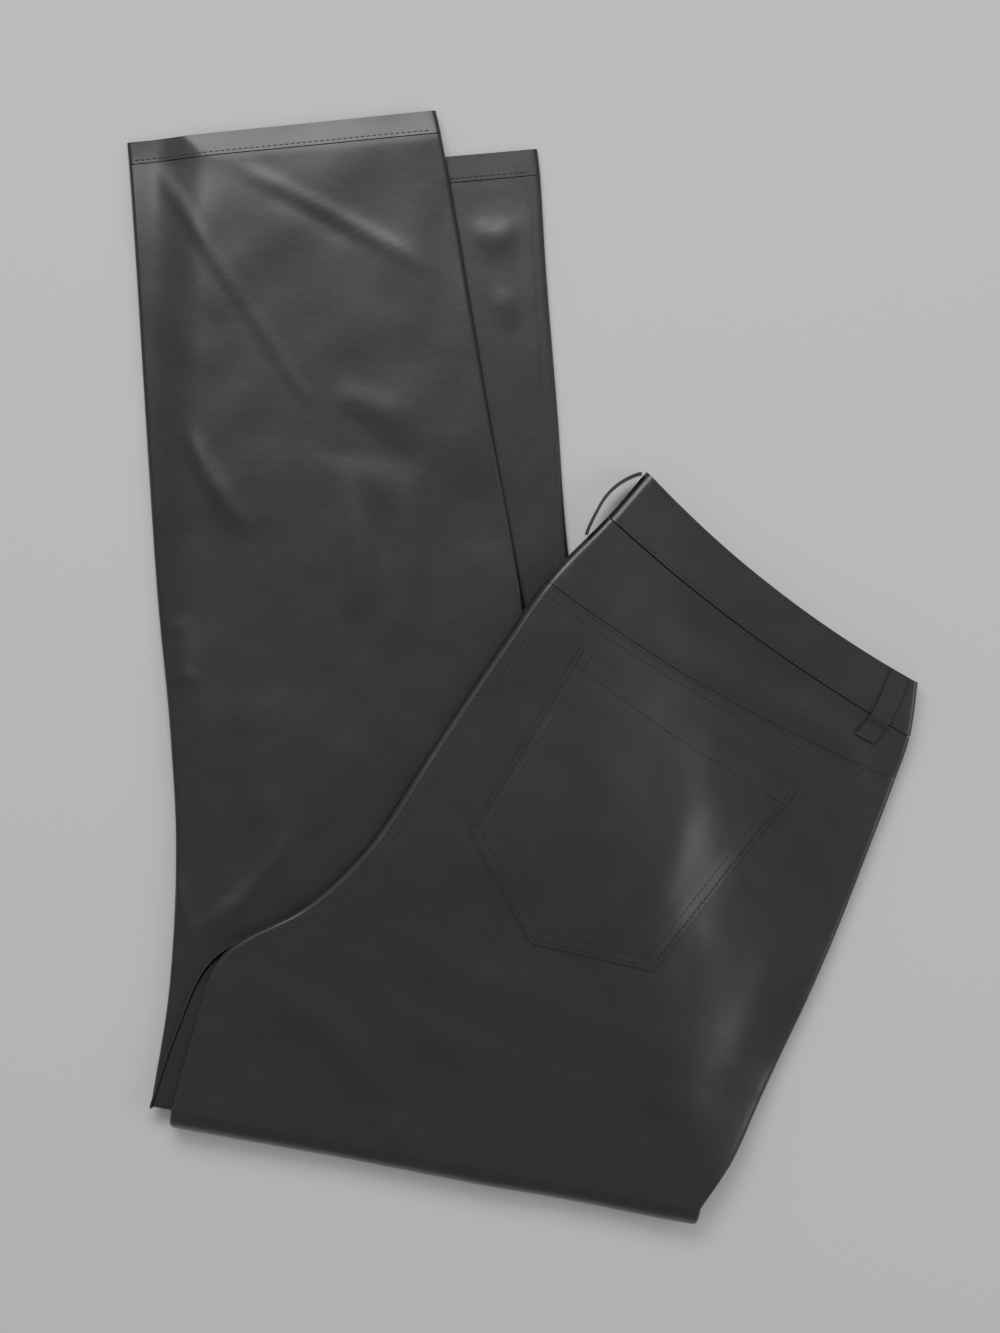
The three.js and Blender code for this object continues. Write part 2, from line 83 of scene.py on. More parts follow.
PATCH_EDGE = 10.0
HALF = CLOTH / 2
LOWEST = -0.6  # no trough is deeper, so that the layers stay clear of each other
FLAT_DEPTH = 2.2  # creases fade to nothing this far down a rolled edge
RETURN_COLUMNS = 4
RETURN_DROP = 0.05  # depth of a side return that has no length
SHARP_ANGLE = 50
THREAD_LIFT = 0.1
SEAT_THREAD_LIFT = 0.12
BROAD_WAVE, BROAD_HEIGHT = 75, 1.5
FINE_WAVE, FINE_HEIGHT = 26, 0.45
FINE_SEED = 9

# Places along a leg's or the seat's sections.
TOP_LEG_FADE = (0.4, 1.2)  # start and length of the stretch where a leg's creases come in
FRONT_START = 0.7
FRONT_FADE = (1.0, 1.5)
HIDDEN_START = 0.3
HIDDEN_LEG = (0.06, 0.3)

# How far a panel stops short of a seam, as a share of the way to the next section.
YOKE_STOP = 0.004
YOKE_BAND_STOP = 0.006
BAND_STOP = 0.008
HEM_STOP = 0.008
UNDER_HEM_STOP = 0.005

# How many rows a stretch of cloth has, and how many columns its flat has.
ROWS = {
    "seat": 130,
    "seat_fold": 16,
    "under_leg": 110,
    "under_seat": 90,
    "inner_fold": 10,
    "top_leg": 150,
    "front": 90,
    "hidden": 60,
    "hidden_fold": 14,
    "hidden_leg": 4,
    "yoke": 22,
    "band": 16,
    "pocket": 60,
    "centre_loop": 40,
    "side_loop": 36,
    "hem": 10,
}
FLATS = 96
FRONT_FLATS = 70
HIDDEN_FLATS = 40
BAND_FLATS = 60
HEM_FLATS = 60

# Sections: name, inner point, outer point, dip of the middle, roll radius of the inner edge, and height
# of the middle. The legs' sections are flat, and have the points only.
SEAT = [
    ("waist", (74.1, 115.2), (236.1, -10.8), 8, CENTRE_ROLL, 8.3),
    ("band", (50.7, 88.2), (231.3, -43.2), 6, CENTRE_ROLL, 8.3),
    ("yoke", (14.1, 50.4), (222.9, -68.4), 8, CENTRE_ROLL, 6.7),
    ("pocket", (-11.1, 14.4), (207.9, -108.0), 5, CENTRE_ROLL, 6.6),
    ("seat", (-57.3, -55.2), (187.5, -160.2), 2, CENTRE_ROLL, 6.6),
    ("hip", (-92.7, -108.0), (170.1, -200.4), 0, CENTRE_ROLL, 6.6),
    ("rise", (-126.9, -141.6), (155.1, -231.6), 0, 3.8, 6.1),
    ("crotch", (-179.1, -173.4), (141.3, -260.4), 0, 2.6, 4.8),
    ("thigh", (-195.3, -218.4), (125.1, -294.6), 0, EDGE_ROLL, 4.8),
    ("fold", (-208.3, -263.9), (106.1, -322.7), 0, EDGE_ROLL, 4.8),
]
LEFT_SEAT = {"crotch": (-186.0, -176.0), "thigh": (-206.5, -218.0), "fold": (-221.4, -261.4)}
RIGHT_LEG = [
    ("fold", (-208.3, -263.9), (106.1, -322.7)),
    ("thigh", (-204.9, -200.4), (80.1, -236.4)),
    ("low_thigh", (-198.3, -116.4), (59.1, -128.4)),
    ("above_knee", (-189.9, -32.4), (43.5, -29.4)),
    ("knee", (-183.3, 57.6), (27.9, 67.8)),
    ("calf", (-180.3, 141.6), (21.3, 153.6)),
    ("shin", (-177.9, 219.6), (14.7, 235.8)),
    ("hem_seam", (-176.1, 276.6), (11.1, 293.4)),
    ("hem", (-175.5, 292.8), (9.3, 309.0)),
]
LEFT_LEG = [
    ("fold", (-221.4, -261.4), (106.1, -322.7)),
    ("thigh", (-210.9, -194.4), (65.1, -234.0)),
    ("low_thigh", (-206.7, -110.4), (33.9, -128.4)),
    ("above_knee", (-210.3, -40.2), (14.7, -41.4)),
    ("knee", (-218.1, 39.6), (-0.3, 45.6)),
    ("calf", (-224.1, 124.8), (-17.1, 135.6)),
    ("shin", (-230.7, 229.8), (-35.7, 244.8)),
    ("hem_seam", (-235.5, 299.4), (-48.3, 317.4)),
    ("hem", (-236.7, 312.6), (-51.3, 331.2)),
]
POCKET_MOUTH = [(35.1, 10.8), (164.1, -74.4)]
POCKET_FOOT = [(-30.9, -99.6), (77.1, -181.2)]
POCKET_POINT = (5.1, -164.4)
# The side loops: place along the seat's sections, and share of the width.
SIDE_LOOP = [(0.03, 0.94), (0.5, 0.922), (1.0, 0.905), (1.2, 0.897), (1.5, 0.886)]

# ---- runs of sections ----


def smooth(x):
    x = np.clip(x, 0, 1)
    return x * x * (3 - 2 * x)


def through(points, s):
    """A centripetal Catmull-Rom curve at s, where point i is at s = i."""
    points = np.asarray(points, float)
    last = len(points) - 1
    i = min(int(math.floor(s)), last - 1)
    w = s - i
    p1, p2 = points[i], points[i + 1]
    p0 = points[i - 1] if i > 0 else 2 * p1 - p2
    p3 = points[i + 2] if i + 2 <= last else 2 * p2 - p1
    d0, d1, d2 = (math.sqrt(np.linalg.norm(b - a)) for a, b in ((p0, p1), (p1, p2), (p2, p3)))
    t1 = ((p1 - p0) / d0 - (p2 - p0) / (d0 + d1) + (p2 - p1) / d1) * d1
    t2 = ((p2 - p1) / d1 - (p3 - p1) / (d1 + d2) + (p3 - p2) / d2) * d1
    return p1 + t1 * w + (3 * (p2 - p1) - 2 * t1 - t2) * w**2 + (2 * (p1 - p2) + t1 + t2) * w**3


class Section:
    """One line across a panel, at s between the rows of a table."""

    def __init__(self, rows, s):
        self.s = s
        self.a = through([r[1] for r in rows], s)
        b = through([r[2] for r in rows], s)
        self.width = float(np.linalg.norm(b - self.a))
        self.across = (b - self.a) / self.width
        self.down = np.array([self.across[1], -self.across[0]])
        extra = [r[3:] if len(r) > 3 else (0, EDGE_ROLL, 0) for r in rows]
        at = [np.interp(s, range(len(rows)), [e[k] for e in extra]) for k in range(3)]
        self.dip, self.roll, self.rest = at

    def plan(self, distance):
        share = np.asarray(distance, float) / self.width
        bend = self.dip * 4 * share * (1 - share)
        return self.a + np.multiply.outer(distance, self.across) + np.multiply.outer(bend, self.down)


def named(rows, name):
    return [r[0] for r in rows].index(name)


LEFT_ROWS = [(r[0], LEFT_SEAT.get(r[0], r[1]), *r[2:]) for r in SEAT]

# ---- what the layers lie on ----


def lift(rows, x, y, drape):
    """Height that a folded leg gives to what lies on it, easing down beside the leg."""
    inner = np.array([r[1] for r in rows])
    outer = np.array([r[2] for r in rows])
    t = (x - inner[-1, 0]) / (outer[-1, 0] - inner[-1, 0])
    from_inner = x - np.interp(y, inner[:, 1], inner[:, 0])
    from_outer = np.interp(y, outer[:, 1], outer[:, 0]) - x
    inside = np.minimum(from_inner, from_outer)
    inside = np.minimum(inside, inner[-1, 1] + t * (outer[-1, 1] - inner[-1, 1]) - y)
    return (LEG_HEIGHT + LAYER_GAP) * smooth((inside + DRAPE_START + drape) / drape)


def ground(x, y):
    return np.zeros_like(x)


def left_leg_floor(x, y):
    return lift(RIGHT_LEG, x, y, LEG_DRAPE)


def seat_floor(x, y):
    return lift(RIGHT_LEG, x, y, SEAT_DRAPE) + lift(LEFT_LEG, x, y, SEAT_DRAPE)


def above(floor, x, y, level):
    """Height of cloth whose distance from the floor is level, also where the floor slopes."""
    dx = floor(x + 0.5, y) - floor(x - 0.5, y)
    dy = floor(x, y + 0.5) - floor(x, y - 0.5)
    return floor(x, y) + level * np.sqrt(1 + dx**2 + dy**2)


# ---- creases and unevenness, in the model's own sizes ----


def crease(x, y, points, width, height, lean=0.0):
    """A soft ridge (height over 0) or trough along points, fading to nothing at both ends."""
    points = np.asarray(points, float)
    lengths = np.linalg.norm(np.diff(points, axis=0), axis=1)
    starts = np.concatenate([[0], np.cumsum(lengths)])
    best = np.full(x.shape, 1e9)
    side = np.zeros(x.shape)
    along = np.zeros(x.shape)
    for i, length in enumerate(lengths):
        ax, ay = points[i]
        ux, uy = (points[i + 1] - points[i]) / length
        t = np.clip((x - ax) * ux + (y - ay) * uy, 0, length)
        dx, dy = x - ax - t * ux, y - ay - t * uy
        d = np.hypot(dx, dy)
        near = d < best
        best = np.where(near, d, best)
        side = np.where(near, np.sign(ux * dy - uy * dx), side)
        along = np.where(near, (starts[i] + t) / starts[-1], along)
    profile = np.exp(-((best / width) ** 2))
    profile = profile * (1 + lean * side * best / width)
    return height * profile * np.sin(np.pi * np.clip(along * 0.94 + 0.03, 0, 1)) ** 0.7


def unevenness(x, y, wavelength, height, seed):
    out = np.empty(x.shape)
    flat = out.ravel()
    xs, ys = x.ravel() / wavelength, y.ravel() / wavelength
    for i in range(flat.size):
        flat[i] = noise.noise((xs[i], ys[i], seed))
    return height * out


# Creases on each face that shows: points, half width, height and lean, all in millimetres.
LEG_CREASES = [
    ([(-216, 292), (-180, 235), (-150, 190), (-118, 142)], 5, 0.9, 0.5),
    ([(-205, 276), (-172, 222), (-140, 175)], 7, -0.7, 0.0),
    ([(-168, 298), (-110, 268), (-55, 238)], 5, 0.8, -0.4),
    ([(-150, 284), (-100, 255)], 7, -0.6, 0.0),
    ([(-199, 136), (-185, 108), (-168, 82)], 6, 1.4, 0.5),
    ([(-120, 142), (-85, 128), (-58, 118)], 13, -1.5, 0.0),
    ([(-110, 160), (-70, 150)], 8, 0.8, 0.0),
    ([(-105, 112), (-98, 70), (-100, 30)], 7, 0.9, 0.3),
    ([(-70, 110), (-62, 70), (-66, 30)], 7, 0.8, -0.3),
    ([(-85, 100), (-80, 50)], 6, -0.8, 0.0),
    ([(-205, 30), (-190, -40), (-192, -110), (-186, -165)], 11, 1.2, 0.4),
    ([(-178, 0), (-170, -60), (-172, -120)], 9, -0.9, 0.0),
    ([(-150, -70), (-140, -120), (-128, -150)], 12, 1.3, 0.0),
    ([(-206, -128), (-197, -161), (-205, -191)], 4, 1.5, 0.3),
    ([(-197, -161), (-168, -143), (-132, -98)], 5, 1.3, 0.3),
    ([(-188, -172), (-160, -160)], 5, -1.0, 0.0),
    ([(-212, -10), (-200, -6), (-190, -12)], 3, 0.7, 0.0),
    ([(-213, 22), (-200, 24)], 3, 0.6, 0.0),
    ([(-214, 60), (-200, 64)], 3, 0.6, 0.0),
    ([(-60, 290), (-66, 240), (-58, 200)], 14, 1.0, 0.0),
]
STRIP_CREASES = [
    ([(-30, 262), (-16, 255), (-4, 262)], 7, 0.9, 0.0),
    ([(-14, 225), (-6, 205)], 6, 0.8, 0.0),
    ([(2, 270), (10, 160), (24, 70)], 5, 0.5, 0.0),
]
SEAT_CREASES = [
    ([(150, -20), (190, -45), (205, -70)], 10, 1.0, 0.3),
    ([(60, 30), (100, 2), (140, -18)], 12, 1.2, 0.0),
    ([(187, -160), (160, -210), (128, -280)], 14, 1.4, 0.0),
    ([(165, -150), (140, -200), (105, -270)], 12, -0.8, 0.0),
    ([(-70, -262), (-82, -288)], 4, 0.9, 0.3),
    ([(-60, -170), (-10, -195), (50, -215)], 15, 1.0, 0.0),
    ([(-100, -190), (-40, -225), (30, -245)], 13, 0.9, 0.0),
    ([(-160, -185), (-120, -215), (-80, -255)], 11, 0.9, 0.3),
    ([(-170, -215), (-150, -245)], 7, -0.7, 0.0),
    ([(40, -10), (45, -60), (30, -110)], 13, 0.8, 0.0),
    ([(100, -60), (95, -110), (75, -150)], 13, 0.9, 0.0),
]


def relief(x, y, creases, seed, height=1.0):
    broad = unevenness(x, y, BROAD_WAVE, BROAD_HEIGHT * height, seed)
    z = broad + unevenness(x, y, FINE_WAVE, FINE_HEIGHT * height, seed + FINE_SEED)
    for points, width, up, lean in creases:
        z = z + crease(x, y, points, width, up, lean)
    return z


def raised(bumps, x, y):
    return np.maximum(bumps(x, y), LOWEST)


# ---- meshes ----


def object_from(name, vertices, faces):
    """A smooth shaded mesh from points in millimetres."""
    mesh = bpy.data.meshes.new(name)
    mesh.from_pydata([tuple(v) for v in (np.asarray(vertices) + ORIGIN) * MM], [], faces)
    mesh.validate()
    mesh.shade_smooth()
    obj = bpy.data.objects.new(name, mesh)
    bpy.context.collection.objects.link(obj)
    return obj


def turn_outwards(obj):
    """Makes a closed mesh's faces point out, and its cut edges sharp."""
    mesh = obj.data
    if sum(p.center.dot(p.normal) * p.area for p in mesh.polygons) < 0:
        mesh.flip_normals()
    mesh.set_sharp_from_angle(angle=math.radians(SHARP_ANGLE))
    return obj


def normals_of(grid, ring=False):
    down = np.gradient(grid, axis=0)
    if ring:
        across = np.roll(grid, -1, axis=1) - np.roll(grid, 1, axis=1)
    else:
        across = np.gradient(grid, axis=1)
    n = np.cross(down, across)
    return n / np.maximum(np.linalg.norm(n, axis=2, keepdims=True), 1e-9)


def wall(name, grid, thickness, ring=False):
    """A closed shell round a grid of mid-cloth points. A ring's last column meets its first."""
    rows, cols = grid.shape[:2]
    n = normals_of(grid, ring)
    outer = grid + n * thickness / 2
    inner = grid - n * thickness / 2
    points = [outer.reshape(-1, 3), inner.reshape(-1, 3)]
    faces = []
    k = rows * cols

    def at(i, j, layer):
        return layer * k + i * cols + (j % cols)

    strips = cols if ring else cols - 1
    for i in range(rows - 1):
        for j in range(strips):
            faces.append((at(i, j, 0), at(i + 1, j, 0), at(i + 1, j + 1, 0), at(i, j + 1, 0)))
            faces.append((at(i, j, 1), at(i, j + 1, 1), at(i + 1, j + 1, 1), at(i + 1, j, 1)))
    last = rows - 1
    for j in range(strips):
        faces.append((at(0, j, 0), at(0, j + 1, 0), at(0, j + 1, 1), at(0, j, 1)))
        faces.append((at(last, j, 0), at(last, j, 1), at(last, j + 1, 1), at(last, j + 1, 0)))
    if not ring:
        for i in range(rows - 1):
            faces.append((at(i, 0, 0), at(i, 0, 1), at(i + 1, 0, 1), at(i + 1, 0, 0)))
            e = cols - 1
            faces.append((at(i, e, 0), at(i + 1, e, 0), at(i + 1, e, 1), at(i, e, 1)))
    return turn_outwards(object_from(name, np.concatenate(points), faces))


def closed_ring(name, grid):
    """A solid whose rows are closed outlines, capped at both ends."""
    rows, cols = grid.shape[:2]
    faces = []
    for i in range(rows - 1):
        for j in range(cols):
            k = (j + 1) % cols
            faces.append((i * cols + j, (i + 1) * cols + j, (i + 1) * cols + k, i * cols + k))
    faces.append(tuple(range(cols)))
    faces.append(tuple(reversed(range((rows - 1) * cols, rows * cols))))
    return turn_outwards(object_from(name, grid.reshape(-1, 3), faces))


def columns(
    section, flats, inner_roll=EDGE_ROLL, outer_turn=90.0, side_return=None, side_inset=0.0, steps=7
):
    """Distances across and depths of a section's columns, from the inner edge to the outer.

    Both edges roll over. The outer one may run back under by side_return, or be cut flat at side_inset.
    """

    def roll(radius, turn, back):
        seam = turn - math.degrees(SEAM_GAP / 2 / radius)
        angles = np.radians(np.linspace(0, seam, steps + 1)[1:])
        inset = HALF + radius * (1 - np.sin(angles))
        depth = radius * (1 - np.cos(angles))
        if back is not None:
            drop = 0 if back else RETURN_DROP
            inset = np.append(inset, inset[-1] + np.linspace(0, back, RETURN_COLUMNS + 1)[1:])
            depth = np.append(depth, depth[-1] + np.linspace(0, drop, RETURN_COLUMNS + 1)[1:])
        return inset, depth

    inset, depth = roll(inner_roll, 90, None)
    outer_edge = section.width - side_inset
    last = outer_edge if side_inset else outer_edge - HALF - EDGE_ROLL
    distance = [inset[::-1], np.linspace(HALF + inner_roll, last, flats + 1)]
    depths = [depth[::-1], np.zeros(flats + 1)]
    if not side_inset:
        inset, depth = roll(EDGE_ROLL, outer_turn, side_return)
        distance.append(outer_edge - inset)
        depths.append(depth)
    return np.concatenate(distance), np.concatenate(depths)


def lay(section, cols, floor, level, facing, bumps=None):
    """A row of mid-cloth points over a floor, its edges rolled away from the side it faces."""
    distance, depth = cols
    p = section.plan(distance)
    x, y = p[:, 0], p[:, 1]
    z = above(floor, x, y, level - facing * depth)
    if bumps is not None:
        z = z + facing * raised(bumps, x, y) * np.clip(1 - depth / FLAT_DEPTH, 0, 1)
    return np.stack([x, y, z], axis=1)


def fold(section, cols, top, bottom, facing, steps):
    """Rows round the cross fold, without its first and last."""
    distance, depth = cols
    p = section.plan(distance)
    x, y = p[:, 0], p[:, 1]
    centre = (top(x, y) + bottom(x, y)) / 2
    radius = (top(x, y) - bottom(x, y)) / 2 - facing * depth
    out = []
    for angle in np.radians(np.linspace(0, 180, steps + 1)[1:-1]):
        q = p + np.multiply.outer(radius * math.sin(angle), section.down)
        out.append(np.stack([q[:, 0], q[:, 1], centre + radius * math.cos(angle)], axis=1))
    return out


# ---- panels ----


def seat_bumps(x, y):
    return relief(x, y, SEAT_CREASES, 3.1)


def leg_bumps(x, y):
    return relief(x, y, LEG_CREASES, 11.7)


def strip_bumps(x, y):
    return relief(x, y, STRIP_CREASES, 21.3, 0.6)


def sections(rows, start, end, steps):
    return [Section(rows, s) for s in np.linspace(start, end, steps + 1)]


def coming_in(bumps, section, start, length):
    """Bumps that grow from nothing along a leg, beside where the seat covers it."""
    share = float(smooth((section.s - start) / length))
    return lambda x, y: bumps(x, y) * share


YOKE, BAND = named(SEAT, "yoke"), named(SEAT, "band")
LAST = len(SEAT) - 1
HEM_SEAM = named(LEFT_LEG, "hem_seam")


def top_level(section):
    return section.rest + SEAT_HEIGHT / 2 - HALF


def under_level(section):
    return section.rest - SEAT_HEIGHT / 2 + HALF


def right_back():
    rows = []
    for section in sections(SEAT, YOKE + YOKE_STOP, LAST, ROWS["seat"]):
        cols = columns(section, FLATS, section.roll, side_return=0)
        rows.append(lay(section, cols, seat_floor, top_level(section), 1, seat_bumps))
    section = Section(SEAT, LAST)
    cols = columns(section, FLATS, section.roll, side_return=0)
    level = top_level(section)

    def crown(x, y):
        return above(seat_floor, x, y, level) + raised(seat_bumps, x, y)

    rows += fold(section, cols, crown, lambda x, y: np.full(x.shape, HALF), 1, ROWS["seat_fold"])
    turning_rows = 16
    for i, section in enumerate(sections(RIGHT_LEG, 0, HEM_SEAM - UNDER_HEM_STOP, ROWS["under_leg"])):
        share = float(smooth(i / turning_rows))
        cols = columns(section, FLATS, outer_turn=90 + 90 * share, side_return=SIDE_RETURN * share)
        rows.append(lay(section, cols, ground, HALF, -1))
    return wall("right_back_panel", np.array(rows), CLOTH)


def left_back():
    rows = []
    for section in sections(LEFT_ROWS, YOKE + YOKE_STOP, LAST, ROWS["under_seat"]):
        cols = columns(section, FLATS, section.roll)
        rows.append(lay(section, cols, seat_floor, under_level(section), -1))
    section = Section(LEFT_ROWS, LAST)
    cols = columns(section, FLATS, section.roll)
    level = under_level(section)

    def under_seat(x, y):
        return above(seat_floor, x, y, level)

    def on_leg(x, y):
        return above(left_leg_floor, x, y, LEG_HEIGHT - HALF)

    rows += fold(section, cols, under_seat, on_leg, -1, ROWS["inner_fold"])
    for section in sections(LEFT_LEG, 0, HEM_SEAM - HEM_STOP, ROWS["top_leg"]):
        bumps = coming_in(leg_bumps, section, *TOP_LEG_FADE)
        cols = columns(section, FLATS)
        rows.append(lay(section, cols, left_leg_floor, LEG_HEIGHT - HALF, 1, bumps))
    return wall("left_back_panel", np.array(rows), CLOTH)


def leg_front(name, run, floor, level, facing, bumps, **options):
    """The stretch of a front panel that lies outside the seat."""
    rows = []
    for section in sections(run, FRONT_START, HEM_SEAM - HEM_STOP, ROWS["front"]):
        faded = coming_in(bumps, section, *FRONT_FADE)
        cols = columns(section, FRONT_FLATS, **options)
        rows.append(lay(section, cols, floor, level, facing, faded))
    return wall(name, np.array(rows), CLOTH)


def hidden_layers():
    """The seat's inner layers, their edges drawn in between the two fronts."""
    heights = np.linspace(1, -1, len(HIDDEN_EDGE)) * HIDDEN_HEIGHT / 2

    def ring(section, extra=0.0):
        low = HIDDEN_INSET + extra
        high = section.width - HIDDEN_INSET - extra - HIDDEN_FLAT
        edge = [(low + HIDDEN_DEPTH * (1 - p), h) for p, h in zip(HIDDEN_EDGE, heights)]
        flats = np.linspace(HIDDEN_INSET + HIDDEN_FLAT, high, HIDDEN_FLATS)
        points = [(d, HIDDEN_HEIGHT / 2) for d in flats[::-1]]
        points += edge
        points += [(d, -HIDDEN_HEIGHT / 2) for d in flats]
        points += [(section.width - d, h) for d, h in edge[::-1]]
        return np.array(points)

    rows = []
    for section in sections(SEAT, BAND + HIDDEN_START, LAST, ROWS["hidden"]):
        pts = ring(section)
        p = section.plan(pts[:, 0])
        z = above(seat_floor, p[:, 0], p[:, 1], section.rest + pts[:, 1])
        rows.append(np.column_stack([p, z]))
    section = Section(SEAT, LAST)
    pts = ring(section)
    p = section.plan(pts[:, 0])
    top = above(seat_floor, p[:, 0], p[:, 1], section.rest)
    bottom = (PILE_HEIGHT - LAYER_GAP) / 2
    radius = (top - bottom) / 2 + pts[:, 1]
    for angle in np.radians(np.linspace(0, 180, ROWS["hidden_fold"] + 1)[1:]):
        q = p + np.multiply.outer(radius * math.sin(angle), section.down)
        rows.append(np.column_stack([q, (top + bottom) / 2 + radius * math.cos(angle)]))
    for section in sections(RIGHT_LEG, *HIDDEN_LEG, ROWS["hidden_leg"]):
        pts = ring(section, LEG_DRAW_IN * section.s)
        p = section.plan(pts[:, 0])
        rows.append(np.column_stack([p, bottom - pts[:, 1]]))
    return closed_ring("inner_layers", np.array(rows))


def yoke(name, run, level, facing, bumps):
    rows = []
    for section in sections(run, BAND + YOKE_BAND_STOP, YOKE - YOKE_STOP, ROWS["yoke"]):
        cols = columns(section, FLATS, section.roll)
        rows.append(lay(section, cols, seat_floor, level(section), facing, bumps))
    return wall(name, np.array(rows), CLOTH)


def waistband():
    """One closed band: the backs outside, the fronts inside, folded at the centres and sides."""
    middle = BAND_CLOTH / 2
    pitch = (BAND_HEIGHT - BAND_CLOTH) / 3
    back_radius = (BAND_HEIGHT - BAND_CLOTH) / 2

    def arc(at, level, radius, start, end):
        angles = np.radians(np.linspace(start, end, 9)[1:-1])
        return [(at + radius * math.cos(a), level + radius * math.sin(a)) for a in angles]

    def layer(start, end, level):
        return [(d, level) for d in np.linspace(start, end, BAND_FLATS)]

    rows = []
    for section in sections(SEAT, 0, BAND - BAND_STOP, ROWS["band"]):
        back = middle + back_radius
        front = FRONT_INSET + middle
        side = section.width - middle - pitch / 2
        pts = np.array(
            layer(back, side, 1.5 * pitch)
            + arc(side, pitch, pitch / 2, 90, -90)
            + layer(side, front, 0.5 * pitch)
            + arc(front, 0, pitch / 2, 90, 270)
            + layer(front, side, -0.5 * pitch)
            + arc(side, -pitch, pitch / 2, 90, -90)
            + layer(side, back, -1.5 * pitch)
            + arc(back, 0, back_radius, 270, 90)
        )
        p = section.plan(pts[:, 0])
        z = above(seat_floor, p[:, 0], p[:, 1], section.rest + pts[:, 1])
        z = z + raised(seat_bumps, p[:, 0], p[:, 1]) * smooth((pts[:, 1] - 1) / 3)
        rows.append(np.column_stack([p, z]))
    return wall("waistband_ring", np.array(rows), BAND_CLOTH, ring=True)


def pocket_plan(across, down):
    """A plan point of the pocket: across from -1 to 1, down from the mouth at 0 to the foot at 1."""
    mouth = [np.array(p) for p in POCKET_MOUTH]
    foot = [np.array(p) for p in POCKET_FOOT]
    point = np.array(POCKET_POINT)
    top = mouth[0] + (mouth[1] - mouth[0]) * (1 + across) / 2
    corner = foot[0] if across < 0 else foot[1]
    low = point + (corner - point) * abs(across)
    return top + (low - top) * down


def pocket(name, facing):
    level = PATCH_REST + facing * (SEAT_HEIGHT / 2 + PATCH_GAP + HALF)
    across = np.linspace(-1, 1, ROWS["pocket"] + 1)
    rows = []
    for down in np.linspace(0, 1, ROWS["pocket"] + 1):
        p = np.array([pocket_plan(a, down) for a in across])
        x, y = p[:, 0], p[:, 1]
        edge = np.minimum(1 - np.abs(across), min(down, 1 - down)) * ROWS["pocket"]
        crown = PATCH_CROWN * smooth(edge / PATCH_EDGE)
        z = above(seat_floor, x, y, level)
        if facing > 0:
            z = z + raised(seat_bumps, x, y) - PATCH_SUNK + crown
        rows.append(np.column_stack([x, y, z]))
    return wall(name, np.array(rows), CLOTH)


def centre_loop():
    side = np.linspace(-LOOP_WIDTH / 2, LOOP_WIDTH / 2, 9)
    rows = []
    for t in np.linspace(0, 1, ROWS["centre_loop"] + 1):
        section = Section(SEAT, LOOP_START + (LOOP_END - LOOP_START) * t)
        off = LOOP_CLOTH / 2 + LOOP_OFF + LOOP_STAND * math.sin(math.pi * t) ** 0.8
        x, y = section.plan(0.0) - section.across * off
        xs, ys = np.full(side.size, x), np.full(side.size, y)
        rows.append(np.column_stack([xs, ys, above(seat_floor, xs, ys, section.rest + side)]))
    return wall("centre_belt_loop", np.array(rows), LOOP_CLOTH)


def side_loop(name, facing):
    table = np.array(SIDE_LOOP)
    side = np.linspace(-LOOP_WIDTH / 2, LOOP_WIDTH / 2, 13)
    rows = []
    for s in np.linspace(table[0, 0], table[-1, 0], ROWS["side_loop"] + 1):
        section = Section(SEAT, s)
        share = np.interp(s, table[:, 0], table[:, 1])
        on_yoke = float(smooth((s - 1.0) / 0.2))
        under = BAND_HEIGHT / 2 * (1 - on_yoke) + SEAT_HEIGHT / 2 * on_yoke
        level = section.rest + facing * (under + PATCH_GAP + LOOP_CLOTH / 2)
        p = section.plan(share * section.width + side)
        z = above(seat_floor, p[:, 0], p[:, 1], level)
        if facing > 0:
            z = z + raised(seat_bumps, p[:, 0], p[:, 1])
        rows.append(np.column_stack([p, z]))
    return wall(name, np.array(rows), LOOP_CLOTH)


def hem(name, run, floor, bumps):
    """A turned-up hem, closed round the folded leg."""
    middle = HEM_CLOTH / 2
    radius = LEG_HEIGHT / 2 - middle
    rows = []
    for section in sections(run, HEM_SEAM + HEM_STOP, len(run) - 1, ROWS["hem"]):
        left, right = middle + radius, section.width - middle - radius
        flat = np.linspace(left, right, HEM_FLATS + 1)[1:-1]

        def turn(at, start, end):
            angles = np.radians(np.linspace(start, end, 9))
            return [(at + radius * math.cos(a), LEG_HEIGHT / 2 + radius * math.sin(a)) for a in angles]

        pts = turn(left, 270, 90)
        pts += [(d, LEG_HEIGHT - middle) for d in flat]
        pts += turn(right, 90, -90)
        pts += [(d, middle) for d in flat[::-1]]
        pts = np.array(pts)
        p = section.plan(pts[:, 0])
        z = above(floor, p[:, 0], p[:, 1], pts[:, 1])
        z = z + raised(bumps, p[:, 0], p[:, 1]) * smooth((pts[:, 1] - 2.2) / 2)
        rows.append(np.column_stack([p, z]))
    return wall(name, np.array(rows), HEM_CLOTH, ring=True)


# ---- stitches ----


CENTRE_STITCHES = (5.2, 10.2)  # from the centre fold
CENTRE_STITCHES_END = 7.2
YOKE_STITCHES = (0.042, 0.161)  # below the yoke seam, as a share of the way to the next section
POCKET_STITCHES = (2.2, 7.6)  # from the pocket's edge
POCKET_HALF_WIDTH = 75.0
POCKET_DEPTH = 140.0
MOUTH_STITCHES = 0.085
BAND_STITCHES = (0.07, 0.93)
HEM_STITCHES = 0.12
HEM_STITCHES_INSET = 4


def on_seat(x, y, level):
    x, y = np.array([x], float), np.array([y], float)
    return (above(seat_floor, x, y, level) + raised(seat_bumps, x, y))[0]


def seat_point(section, distance):
    x, y = section.plan(np.array([distance]))[0]
    return x, y, on_seat(x, y, top_level(section) + HALF) + SEAT_THREAD_LIFT


